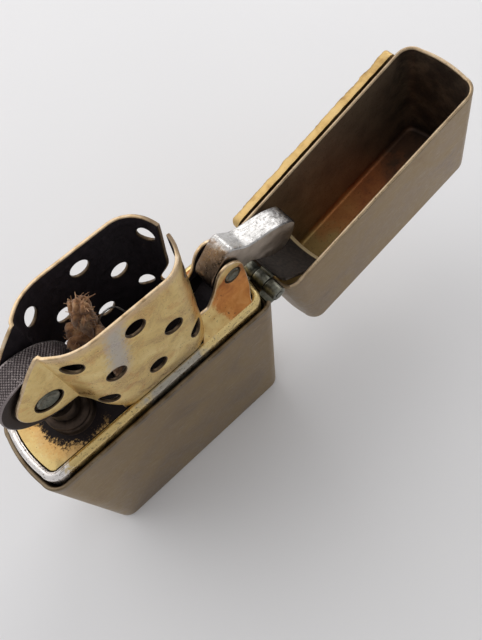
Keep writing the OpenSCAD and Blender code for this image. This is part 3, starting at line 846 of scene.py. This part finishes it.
def add_shell(shape, height, notch_z, place):
    """Adds a drawn shell, notched for the hinge above notch_z. place moves each point to its rest."""
    rows = shell_profile(height, notch_z)
    rings = [shape.points(place(x, y, z) for x, y in case_plan(g)) for g, z, _ in rows]
    count = len(rings[0])
    cut = 6 + math.ceil(math.degrees(math.asin(NOTCH_SINE)) / 9)
    gone = set(range(cut)) | set(range(count - cut, count))
    out_row = next(i for i, r in enumerate(rows) if r[0] == 0 and r[1] == notch_z)
    in_row = next(i for i, r in enumerate(rows) if r[0] == SHELL_T and r[1] == notch_z)
    for i, (a, b) in enumerate(zip(rings, rings[1:])):
        shape.bridge(a, b, rows[i + 1][2] if i < in_row else 2, skip=gone if out_row <= i < in_row else ())
    shape.face(rings[0], 0)
    shape.face(rings[-1], 2)
    for j in sorted(gone):
        k = (j + 1) % count
        shape.face([rings[out_row][j], rings[out_row][k], rings[in_row][k], rings[in_row][j]], 1)
    for j in (cut, count - cut):
        shape.face([rings[i][j] for i in range(out_row, in_row + 1)], 1)


def make_case():
    shape = Shape()
    add_shell(shape, CASE.z, NOTCH_Z, lambda x, y, z: Vector((x, y, z)))
    link_piece("case_body", shape, [CASE_OUT, CASE_RIM_SHADED, CASE_IN], "case", ["case_shell"])


def make_lid():
    shape = Shape()
    height = LID_TOP - CASE.z - MOUTH_GAP
    add_shell(shape, height, height - 0.6, lambda x, y, z: swing((x, y, LID_TOP - z), LID_OPEN))
    link_piece("lid_body", shape, [LID_OUT, LID_RIM, LID_IN], "lid", ["lid_shell"])


# ---------------------------------------------------------------- hinge

def leaf_track():
    """The inside of the hinge end's wall, seen from above, from -Y to +Y."""
    points = [p for p in case_plan(SHELL_T + 0.05) if p[0] > CASE.x / 2 and abs(p[1]) < CASE.y - 0.9]
    return Track(sorted(points, key=lambda p: p[1]))


def add_strip(shape, z0, z1):
    track = leaf_track()
    s0, s1 = track.where(1, -LEAF_HALF), track.where(1, LEAF_HALF)

    def place(s, z, w):
        p = track.at(s) + track.normal(s, 0.4) * w
        return Vector((p.x, p.y, z))
    corners = [Vector(c) for c in ((s0, z0), (s1, z0), (s1, z1), (s0, z1))]
    add_sheet(shape, [divided(corners, 0.6)], place, LEAF_T, 0.12, 1.2, (0, 0, 0, 0))


def add_knuckle(shape, k, side):
    """One rolled knuckle and the tab that joins it to its leaf, above the pin (1) or below it (-1)."""
    y = k * KNUCKLE_PITCH
    half = KNUCKLE_L / 2
    soft = 0.14
    profile = [(PIN_BORE, -half + soft), (PIN_BORE + soft, -half), (BARREL_R - soft, -half),
               (BARREL_R - 0.04, -half + 0.04), (BARREL_R, -half + soft), (BARREL_R, half - soft),
               (BARREL_R - 0.04, half - 0.04), (BARREL_R - soft, half), (PIN_BORE + soft, half),
               (PIN_BORE, half - soft), (PIN_BORE, -half + soft)]
    add_lathe(shape, Vector((HINGE.x, y, HINGE.z)), "Y", profile, 40, 1)
    reach = 1.95 if abs(k) == 2 else 1.45
    x0, x1 = HINGE.x - reach, HINGE.x - 0.75
    loop = [Vector(c) for c in ((x0, y - half), (x1, y - half), (x1, y + half), (x0, y + half))]
    base = HINGE.z + min(side, 0) * TAB_T
    add_sheet(shape, [loop], lambda u, v, w: Vector((u, v, base + w)), TAB_T, 0.1, None, (1, 1, 1, 1))


def make_case_leaf():
    shape = Shape()
    add_strip(shape, HINGE.z - 10, HINGE.z - 1.3)
    for k in (-2, 0, 2):
        add_knuckle(shape, k, -1)
    link_piece("case_leaf", shape, [CASE_IN, KNUCKLE], "case", ["case_hinge_leaf"])


def make_lid_leaf():
    shape = Shape()
    add_strip(shape, HINGE.z + 0.5, HINGE.z + LEAF_H)
    for k in (-1, 1):
        add_knuckle(shape, k, 1)
    shape.turned(0, LEAF_OPEN)
    link_piece("lid_leaf", shape, [SHADED_LEAF, KNUCKLE], "lid_leaf", ["lid_hinge_leaf"])


# ---------------------------------------------------------------- applied plate

def scroll_lines():
    """Four spirals and a border, as points with the width and height of their relief."""
    points = []
    for sx in (-1, 1):
        for sz in (-1, 1):
            for i in range(150):
                t = i / 149
                a = 0.6 + 9.5 * t
                r = 5.2 * (1 - t) ** 0.8 + 0.25
                points.append((sx * (8.4 + r * math.cos(a)), sz * (4.1 + 0.75 * r * math.sin(a)), 0.5, 0.3))
    for i in range(120):
        a = 2 * math.pi * i / 120
        points.append((3.3 * math.cos(a), 4.6 * math.sin(a), 0.45, 0.3))
    return points


def emblem_relief():
    lines = scroll_lines()
    tree = kdtree.KDTree(len(lines))
    for i, (x, z, _, _) in enumerate(lines):
        tree.insert((x, z, 0), i)
    tree.balance()

    def height(u, v):
        _, i, d = tree.find((u, v, 0))
        rise = lines[i][3] * math.exp(-(d / lines[i][2]) ** 2)
        rim = min(EMBLEM_HW - abs(u), EMBLEM_HH - abs(v))
        border = 0.36 * math.exp(-((rim - 0.45) / 0.45) ** 2)
        boss = 0.32 * max(0.0, 1 - (u / 2.6) ** 2 - (v / 3.9) ** 2) ** 0.5
        hammered = 0.16 * noise.noise(Vector((u * 0.8, v * 0.8, 3)))
        hammered += 0.08 * noise.noise(Vector((u * 2.1, v * 2.1, 9)))
        return 1.0 + max(rise, border, boss) + hammered
    return height


def make_emblem():
    height = emblem_relief()
    centre_z = CASE.z + MOUTH_GAP + EMBLEM_HH
    nu, nv, corner = 230, 140, 1.5
    shape = Shape()
    rows = []
    for j in range(nv + 1):
        v = EMBLEM_HH * (2 * j / nv - 1)
        over = max(0.0, abs(v) - (EMBLEM_HH - corner))
        half = EMBLEM_HW - corner + math.sqrt(max(corner ** 2 - over ** 2, 0.0))
        row = []
        for i in range(nu + 1):
            u = half * (2 * i / nu - 1)
            wave = 0.14 * noise.noise(Vector((u * 0.9, v * 0.9, 21)))
            edge = min(half - abs(u), EMBLEM_HH - abs(v))
            fall = 0.15 * max(0.0, 1 - edge / 0.2) ** 2
            row.append(swing((u, EMBLEM_BACK + height(u, v) - fall, centre_z + v + wave), LID_OPEN))
        rows.append(shape.points(row))
    for a, b in zip(rows, rows[1:]):
        shape.bridge(a, b, 0, closed=False)
    rim = rows[0] + [r[-1] for r in rows[1:]] + rows[-1][-2::-1] + [r[0] for r in rows[-2:0:-1]]
    flat = []
    for i in rim:
        shut = swing(shape.v[i], -LID_OPEN)
        flat.append(swing((shut.x, EMBLEM_BACK, shut.z), LID_OPEN))
    back = shape.points(flat)
    shape.bridge(rim, back, 0)
    shape.face(back, 0)
    link_piece("emblem", shape, [EMBLEM], "lid", ["lid_emblem"], 60)


# ---------------------------------------------------------------- insert

def make_insert():
    """The insert's wall, its rim rolled inwards and ending in a thin turned-up lip beside the top plate."""
    top = INSERT.z
    foot = INSERT_LOW.z
    rows = [(0.1, foot), (0, foot + 0.1), (0, 12), (0, 24), (0, top - 2.5)]
    rows += [(ROLL_R * (1 - math.cos(a)), top - ROLL_R + ROLL_R * math.sin(a))
             for a in (math.radians(d) for d in range(0, 91, 9))]
    lip = [(0.06, -0.06), (0.09, -0.16), (0.14, -0.17), (0.17, -0.06), (0.21, -0.02), (0.25, -0.05),
           (0.28, -0.2), (0.28, -0.9)]
    rows += [(ROLL_R + g, top + z) for g, z in lip]
    rows += [(INSERT_T + 0.1, top - 1.5), (INSERT_T, top - 1.9), (INSERT_T, 24), (INSERT_T, foot + 0.1),
             (INSERT_T - 0.1, foot)]
    shape = Shape()
    rings = [shape.points(Vector((x, y, z)) for x, y in insert_plan(g)) for g, z in rows]
    for a, b in zip(rings, rings[1:] + rings[:1]):
        shape.bridge(a, b, 0)
    link_piece("insert_wall", shape, [WALL_GOLD], "case", ["insert_box"])


def make_plate():
    outer = [Vector(p) for p in insert_plan(SEAM)]
    slot_x = (9.7, 16.2)
    slot = [Vector(c) for c in ((slot_x[0], -EAR_IN), (slot_x[0], EAR_IN), (slot_x[1], EAR_IN),
                                (slot_x[1], -EAR_IN))]
    holes = [circle(TUBE_X, 0, 1.93), circle(WICK_X, 0, 1.5), divided(slot, 0.5)]
    shape = Shape()
    add_sheet(shape, [divided(outer, 0.6)] + holes, lambda u, v, w: Vector((u, v, PLATE_Z - w)), SHEET_T, 0.1,
              1.2, (0, 1, 0, 0))
    link_piece("top_plate", shape, [PLATE, SOOT], "case", ["windscreen"])


def screen_track():
    """Outer face of one half of the windscreen, seen from above, from the wheel ear to the cam end."""
    swell = [(CREASE_X, EAR_OUT), (-7.8, 2.75), (-7.25, 3.3), (-6.7, 3.8), (-6, 4.3), (-5.1, 4.72),
             (-4, SCREEN_Y - 0.12), (-2.6, SCREEN_Y)]
    points = [Vector((-14.4, EAR_OUT))] + curve_through(swell, 8) + [Vector((SCREEN_MID, SCREEN_Y))]
    for i in range(1, 31):
        a = math.radians(90 - 3 * i)
        points.append(Vector((SCREEN_MID + SCREEN_END * math.cos(a), SCREEN_Y * math.sin(a))))
    return Track(points)


SCREEN = screen_track()
SLIT = [(0.75, SCREEN_TOP), (0.85, 54), (1.3, 50), (1.7, 46.6), (3.4, 42.6), (3, 41.2), (1.9, 40.2),
        (1.9, 36)]
EAR_SIDE = [(-6, SCREEN_TOP), (-7.2, SCREEN_TOP), (-7.95, 55.35), (-8.5, 54.95), (-9.9, 53.6),
            (-11.6, 51.6), (-13.2, 49.6), (-13.7, 48.1), (-13.4, 46.3), (-12.2, 44.8), (-10.4, 43.9),
            (-8.1, 43.6), (-7.5, 43.2), (-7.1, 42.2), (-6.6, 40.8), (-5.3, 38.7)]
AIR_HOLES = [(-5.8, 42.1), (0.8, 42.1), (6.95, 42.1), (-3.4, 47.2), (4.4, 47.2), (-6.3, 52.4),
             (0.8, 52.4), (8.7, 52.4)]


def screen_outline():
    foot = PLATE_Z - 0.3
    slit = [Vector((SCREEN.where(1, y), z)) for y, z in curve_through([Vector(p) for p in reversed(SLIT)], 5)]
    ear = [Vector((SCREEN.where(0, x), z)) for x, z in curve_through([Vector(p) for p in EAR_SIDE], 5)]
    left = SCREEN.where(0, -5.3)
    loop = [Vector((left, foot))] + slit + ear + [Vector((left, PLATE_Z + 0.6))]
    return divided(loop, 0.5)


def screen_place(side):
    """Puts a point of the flat windscreen on its wall, which leans in at the top and curls in at its foot."""
    def place(s, z, w):
        p = SCREEN.at(s) - SCREEN.normal(s) * w
        lean = 1.03 - 0.09 * (z - PLATE_Z) / (SCREEN_TOP - PLATE_Z)
        curl = 0.13 * max(1 - (z - PLATE_Z) / 4.2, 0.0) ** 2
        share = min(max((p.y - 2.4) / 2.4, 0.0), 1.0)
        y = p.y * (1 + (lean - curl - 1) * share)
        return Vector((p.x, side * max(y, 0.02), z))
    return place


def make_screen(side, name, front):
    loops = [screen_outline()]
    for x, z in AIR_HOLES:
        loops.append(circle(SCREEN.where(0, x), z, HOLE_R, 36))
    loops.append(circle(SCREEN.where(0, WHEEL.x), WHEEL.z, 1.62, 36))
    shape = Shape()
    add_sheet(shape, loops, screen_place(side), SHEET_T, 0.13, 0.6, (0, 1, 2, 3), SCREEN.where(0, CREASE_X))
    link_piece(name, shape, [front, SOOT, EDGE, HOLE_EDGE_SHADE], "case", smooth_angle=33)


EAR_RISE = 4.8
CAM_EAR = [(8.75, 39.15), (9.4, 39.15), (10.3, 39.2), (11.6, 40.6), (12.4, 42.6), (13, 43.6),
           (13.9, 44.15), (14.9, 44.1), (16, 43.3), (16.6, 42), (16.8, 40.2), (16.8, 38.8), (16.5, 37.4),
           (15.5, PLATE_Z + 0.02)]


def ear_track():
    """A cam ear's outer face, seen from the end: flat on the plate, up in an arc, then upright."""
    flare = SCREEN_Y - EAR_OUT
    arc = [(SCREEN_Y - flare * math.sin(a), PLATE_Z + EAR_RISE * (1 - math.cos(a)))
           for a in (math.radians(6 * i) for i in range(16))]
    return Track(arc + [(EAR_OUT, 45)])


def make_cam_ear(side, name):
    track = ear_track()

    def place(x, s, w):
        p = track.at(s) + track.normal(s, 0.2) * w
        return Vector((x, side * p.x, p.y))
    outline = [Vector((x, track.where(1, z))) for x, z in curve_through([Vector(p) for p in CAM_EAR], 5)]
    foot = []
    low, high = outline[-1].y, outline[0].y
    for i in range(9):
        s = low + (high - low) * i / 8
        wall_x = SCREEN_MID - 0.3 + SCREEN_END * math.sqrt(max(1 - (track.at(s).x / SCREEN_Y) ** 2, 0))
        foot.append(Vector((max(wall_x, 6.9), s)))
    loop = divided(foot[:-1] + outline, 0.4)
    if sum(a.x * b.y - b.x * a.y for a, b in zip(loop, loop[1:] + loop[:1])) < 0:
        loop.reverse()
    shape = Shape()
    hole = circle(CAM.x, track.where(1, CAM.z), 1.2, 32)
    add_sheet(shape, [loop, hole], place, SHEET_T, 0.13, 0.6, (0, 1, 2, 3))
    link_piece(name, shape, [COPPER, SOOT, EDGE, HOLE_EDGE_SHADE], "case")


def add_rivet(shape, centre, shank, head, top):
    """A shank with a dished head at each end; top is how far the head stands out of its ear."""
    for side in (-1, 1):
        face = side * (EAR_OUT + top)
        profile = [(0, side * 1.0), (shank, side * 1.0), (shank, face - side * 0.32),
                   (head, face - side * 0.3), (head, face - side * 0.12),
                   (head - 0.1, face - side * 0.02), (head * 0.82, face),
                   (head * 0.7, face - side * 0.04), (head * 0.6, face - side * 0.14),
                   (head * 0.4, face - side * 0.2), (head * 0.2, face - side * 0.22),
                   (0, face - side * 0.22)]
        add_lathe(shape, Vector((centre.x, 0, centre.z)), "Y", profile, 40, 0)
    add_lathe(shape, Vector((centre.x, 0, centre.z)), "Y", [(shank, -1.2), (shank, 1.2)], 24, 0)


def make_rivets():
    shape = Shape()
    add_rivet(shape, WHEEL, 0.9, 1.36, -0.06)
    link_piece("wheel_axle", shape, [RIVET], "case", ["wheel_rivet"])
    shape = Shape()
    add_rivet(shape, CAM, 0.75, 1.1, 0.04)
    link_piece("cam_axle", shape, [RIVET], "case", ["cam_rivet"])


# ---------------------------------------------------------------- wheel and cam

def make_wheel():
    """A striker wheel with crossed slanting cuts on its tread and a ring sunk in each side."""
    pitch = 2 * math.pi * WHEEL_R / 84
    h, soft = WHEEL_HALF, 0.22

    def groove(a, y):
        if abs(y) > h - 0.02:
            return 0.0
        near = min((h - abs(y)) / 0.3, 1.0)
        cuts = 0.0
        for slant, deep in ((-1.0, 0.09), (0.8, 0.11)):
            t = ((a * WHEEL_R + slant * y) / pitch) % 1.0
            cuts += deep * (0.5 + 0.5 * math.cos(2 * math.pi * t)) ** 1.4
        return -cuts * near
    side = [(0.96, h - 0.1), (1.06, h), (1.5, h), (1.6, h - 0.1), (1.75, h - 0.24),
            (WHEEL_R - 1.5, h - 0.24), (WHEEL_R - 1.35, h - 0.1), (WHEEL_R - 1.2, h - 0.02),
            (WHEEL_R - soft, h)]
    tread = [(WHEEL_R, (h - soft) * (1 - i / 15)) for i in range(31)]
    rim = [(WHEEL_R - 0.06, h - 0.06)]
    centre = Vector((WHEEL.x, 0, WHEEL.z))
    shape = Shape()
    n = 840
    rows = side + rim + tread + [(r, -y) for r, y in reversed(side + rim)]
    first = len(side)
    rings = []
    for i, (r, y) in enumerate(rows):
        worn = first <= i < len(rows) - first
        ring = []
        for k in range(n):
            a = 2 * math.pi * k / n
            q = r + (groove(a, y) if worn else 0.0)
            ring.append(centre + Vector((q * math.cos(a), y, q * math.sin(a))))
        rings.append(shape.points(ring))
    for i, (a, b) in enumerate(zip(rings, rings[1:] + rings[:1])):
        shape.bridge(a, b, 0 if first <= i < len(rows) - first else 1)
    link_piece("striker", shape, [TREAD, WHEEL_SIDE], "wheel", ["striker_wheel"], 60)


CAM_SIDE_LINE = [(-2.75, -1.2), (-2.6, 0.6), (-1.6, 1.9), (-0.2, 3.3), (0.5, 3.8), (1.2, 3.75),
                 (2.2, 2.9), (3.2, 2.1), (4.3, 1.62), (5.7, 1.32), (7.2, 1), (8.8, 0.5), (10.3, -0.25),
                 (11.25, -1), (11.6, -1.9), (11.4, -3.2), (10.6, -4.7), (9.7, -5.45), (8.4, -5.65),
                 (7.1, -5.1), (5.3, -3.6), (3.8, -2.3), (2.6, -2.0), (1.5, -2.6), (0, -3), (-1.5, -2.6)]


def make_cam():
    half = span("cam")[1].y
    line = [Vector(p) for p in reversed(CAM_SIDE_LINE)]
    loop = [Vector((CAM.x + p.x, CAM.z + p.y)) for p in curve_through(line, 10, closed=True)]
    shape = Shape()
    add_sheet(shape, [loop], lambda u, v, w: Vector((u, half - w, v)), 2 * half, 0.2, None, (1, 1, 0))
    link_piece("cam_lever", shape, [CAM_TOP, CAM_SIDE], "cam", ["cam"], 50)


# ---------------------------------------------------------------- flint tube and wick

def make_ferrule():
    shape = Shape()
    r0 = 1.93
    profile = [(r0, 0), (2.95, 0), (2.85, 0.12), (2.85, 0.85), (2.78, 1.0), (2.62, 1.12), (2.6, 1.4),
               (2.62, 1.68), (2.78, 1.8), (2.85, 1.95), (2.84, 2.25), (2.7, 2.5), (2.5, 2.68), (2.2, 2.7),
               (r0, 2.66)]
    add_lathe(shape, Vector((TUBE_X, 0, PLATE_Z)), "Z", profile + profile[:1], 56, 0)
    link_piece("ferrule", shape, [FERRULE], "case", ["tube_ferrule"])


def make_wick():
    """Twisted strands that part into two frayed tufts, one upright and one bent over towards the wheel."""
    rng = random.Random(11)
    shape = Shape()
    x = WICK_X
    upright = [(1.3, 0.5, 54.3), (0.9, -0.5, 54.9), (0.1, 0.7, 54.6), (-0.3, -0.4, 54.2),
               (0.7, 0.2, 55.1), (0.4, -0.9, 53.6)]
    bent = [(-2.0, -0.3, 50.0), (-1.4, 0.7, 50.6), (-1.6, -1.2, 48.8), (0.2, -1.5, 49.2)]
    tops = [Vector((x + a, b, z)) for a, b, z in upright + bent]
    for i, top in enumerate(tops):
        base_angle = 2 * math.pi * i / len(tops)
        path = []
        for k in range(60):
            z = 30 + (46.5 - 30) * k / 59
            a = base_angle + 0.42 * (z - 30)
            path.append(Vector((x + 0.8 * math.cos(a), 0.8 * math.sin(a), z)))
        swell = Vector((rng.uniform(-0.4, 0.4), rng.uniform(-0.4, 0.4), 1.0))
        bend = [path[-1], path[-1].lerp(top, 0.5) + swell, top]
        if i >= len(upright):
            bend.append(top + Vector((-0.7, rng.uniform(-0.5, 0.2), -1.0)))
        path = path[:-1] + curve_through(bend, 9)
        add_tube(shape, path, strand_radius, 15, 0, 0.12, 3)
        for _ in range(46):
            add_fibre(shape, rng, path[-rng.randint(1, 14)])
    link_piece("wick_strands", shape, [COTTON], "case", ["wick"], 80)


def strand_radius(share):
    """A strand swells where it frays and ends round."""
    end = max(share - 0.93, 0) / 0.07
    return (0.46 + 0.16 * max(share - 0.7, 0) / 0.3) * math.sqrt(max(1 - end ** 2, 0.004))


def add_fibre(shape, rng, start):
    """One loose fibre that stands out of a strand and curls."""
    out = Vector((rng.uniform(-1, 1), rng.uniform(-1, 1), rng.uniform(-0.35, 0.9))).normalized()
    turn = Vector((rng.uniform(-1, 1), rng.uniform(-1, 1), rng.uniform(-0.8, 0.4)))
    length = rng.uniform(0.5, 1.1)
    path = []
    for k in range(9):
        t = k / 8
        q = start + out * (length * t) + turn * (0.5 * t * t)
        path.append(Vector((q.x, q.y, min(q.z, SCREEN_TOP - 0.1))))
    width = rng.uniform(0.05, 0.12)
    add_tube(shape, path, lambda t: width * (1 - 0.7 * t), 5)


def make_wire():
    points = [Vector(p) for p in ((-1.6, 0, 48.2), (-1.3, 0, 49.3), (-0.6, 0, 50.1), (0.3, 0, 50.2),
                                  (1, 0, 49.6),
                                  (1.4, 0, 48.4), (1.7, 0, 47), (1.9, 0, 45.7), (2, 0, 44.4))]
    shape = Shape()
    add_tube(shape, curve_through(points, 6), lambda t: 0.1, 12)
    link_piece("wick_core_wire", shape, [SPRING], "case", ["wick_wire"])


# ---------------------------------------------------------------- carried-over nodes

def paint_nodes():
    """Gives the CAD nodes that stay their finishes."""
    finishes = {"hinge_pin": KNUCKLE, "emblem_glue": GLUE_AND_SHADE, "cam_spring": SOOT, "spring_rivet": FERRULE,
                "flint_tube": FERRULE, "flint": SPARK, "flint_plunger": FITTING, "flint_spring": SPRING,
                "flint_screw": FITTING, "packing": PACKING, "felt_pad": FELT}
    for name, mat in finishes.items():
        for holder in frame["nodes"][name].material_slots:
            holder.material = mat


# ---------------------------------------------------------------- stage, light and camera

def make_floor():
    mesh = bpy.data.meshes.new("floor")
    size = 6.0
    mesh.from_pydata([(-size, -size, 0), (size, -size, 0), (size, size, 0), (-size, size, 0)], [],
                     [(0, 1, 2, 3)])
    mesh.materials.append(floor_paper("floor_paper"))
    floor = bpy.data.objects.new("floor", mesh)
    bpy.context.scene.collection.objects.link(floor)


def aim(obj, place, target, roll=0.0):
    """Puts an object at a place and points it at a target."""
    place, target = Vector(place) * MM, Vector(target) * MM
    turn = (target - place).to_track_quat("-Z", "Y").to_matrix().to_4x4()
    obj.matrix_world = Matrix.Translation(place) @ turn @ Matrix.Rotation(math.radians(roll), 4, "Z")


def add_light(name, place, target, size, power, colour):
    data = bpy.data.lights.new(name, "AREA")
    data.shape = "RECTANGLE"
    data.size, data.size_y = size[0] * MM, size[1] * MM
    data.energy = power
    data.color = colour
    lamp = bpy.data.objects.new(name, data)
    bpy.context.scene.collection.objects.link(lamp)
    aim(lamp, place, target)


def make_light():
    """A soft sky that is brighter towards +Y, a window on that side and a low card beyond the hinge."""
    world = bpy.data.worlds.new("studio")
    world.use_nodes = True
    nodes, links = world.node_tree.nodes, world.node_tree.links
    split = nodes.new("ShaderNodeSeparateXYZ")
    links.new(nodes.new("ShaderNodeTexCoord").outputs["Generated"], split.inputs[0])
    level = nodes.new("ShaderNodeMapRange")
    links.new(split.outputs["Y"], level.inputs["Value"])
    for socket, value in (("From Min", -1.0), ("From Max", 1.0), ("To Min", 0.52), ("To Max", 0.76)):
        level.inputs[socket].default_value = value
    links.new(level.outputs[0], nodes["Background"].inputs["Strength"])
    nodes["Background"].inputs["Color"].default_value = (0.99, 0.99, 1.0, 1)
    bpy.context.scene.world = world
    add_light("window", (-100, 330, 330), (0, 10, 10), (560, 440), 0.95, (1.0, 0.99, 0.98))
    add_light("card", (290, 150, 215), (18, 0, 42), (260, 200), 0.36, (1.0, 0.99, 0.98))


def make_camera():
    data = bpy.data.cameras.new("camera")
    data.lens = 31.91
    data.sensor_width = 36.0
    data.clip_start = 0.001
    camera = bpy.data.objects.new("camera", data)
    bpy.context.scene.collection.objects.link(camera)
    camera.location = Vector((-3.43, -30.32, 102.86)) * MM
    camera.rotation_euler = [math.radians(a) for a in (23.593, 4.268, -42.757)]
    bpy.context.scene.camera = camera


make_camera()
make_case()
make_lid()
make_case_leaf()
make_lid_leaf()
make_emblem()
make_insert()
make_plate()
make_screen(-1, "screen_near", GOLD_PAINTED_REFLECTION)
make_screen(1, "screen_far", GOLD)
make_cam_ear(-1, "cam_ear_near")
make_cam_ear(1, "cam_ear_far")
make_rivets()
make_wheel()
make_cam()
make_ferrule()
make_wick()
make_wire()
paint_nodes()
make_floor()
make_light()
bpy.context.scene.view_settings.view_transform = "Standard"
